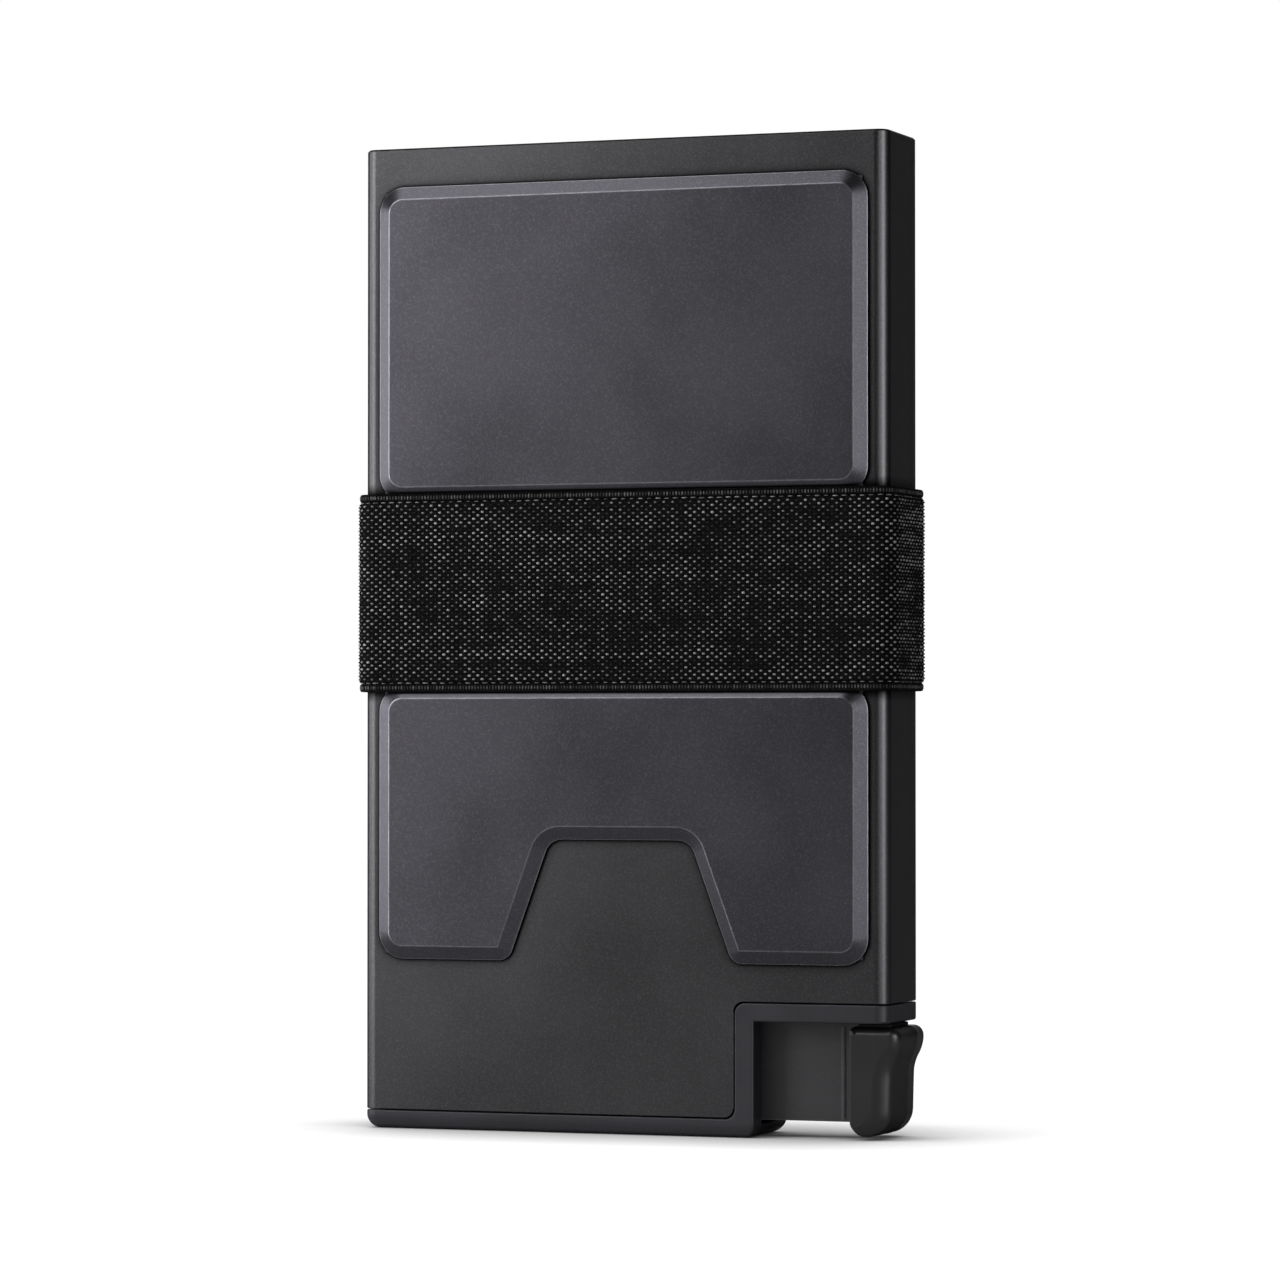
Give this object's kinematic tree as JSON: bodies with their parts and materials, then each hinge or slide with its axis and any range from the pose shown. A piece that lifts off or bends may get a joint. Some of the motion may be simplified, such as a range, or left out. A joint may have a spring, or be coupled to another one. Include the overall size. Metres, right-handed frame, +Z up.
{
  "type": "minimalist wallet",
  "caption": "Slim metal card case with bevelled face plates, an elastic band and a squeeze trigger that lifts the cards out of its open top.",
  "frame": {"origin": "centre of the case's bottom face, on the surface that it stands on", "axes": "+Z up towards the card mouth, +X to the right seen from the plated front (the trigger side), +Y to the back"},
  "size_m": [0.061, 0.0143, 0.105],
  "materials": {
    "case_metal": "fine-blasted, black anodised aluminium, satin",
    "cap_polymer": "fine-textured glass-filled nylon, satin",
    "inner_polymer": "plain moulded acetal, matt",
    "screw_steel": "blackened steel",
    "pin_steel": "ground steel",
    "bush_brass": "turned",
    "spring_steel": "spring steel, oiled",
    "bumper_rubber": "moulded, matt",
    "felt": "pressed felt",
    "plate_metal": "fine-blasted, dark anodised aluminium, satin",
    "bond_film": "black acrylic adhesive film",
    "band_elastic": "woven elastic, melange dark grey",
    "thread": "polyester thread",
    "lever_polymer": "fine-textured glass-filled nylon, satin",
    "grip_polymer": "smooth satin moulding"
  },
  "bodies": {
    "case": {"case_tube": "case_metal", "bottom_cap": "cap_polymer", "card_rest": "inner_polymer", "chassis_front": "inner_polymer", "chassis_rear": "inner_polymer", "chassis_screws": "screw_steel", "cap_screws": "screw_steel", "pivot_pin": "pin_steel", "return_spring": "spring_steel", "rest_bumper": "bumper_rubber", "travel_bumper": "bumper_rubber", "card_spring_left": "spring_steel", "card_spring_right": "spring_steel", "felt_strip_front": "felt", "felt_strip_rear": "felt", "front_plate_upper": "plate_metal", "front_plate_lower": "plate_metal", "bond_film_upper": "bond_film", "bond_film_lower": "bond_film", "elastic_band": "band_elastic", "band_stitching": "thread"},
    "lever": {"eject_lever": "lever_polymer", "trigger_grip": "grip_polymer", "lever_bush": "bush_brass"}
  },
  "joints": [
    {"name": "trigger_pivot", "type": "hinge", "parent": "case", "child": "lever", "pos_m": [0.022, 0, 0.0159], "axis": [0, 1, 0], "range_deg": [0, 25], "stiffness_Nm_per_rad": 0.05, "springref_deg": -28.65, "deforming": ["return_spring"]}
  ]
}
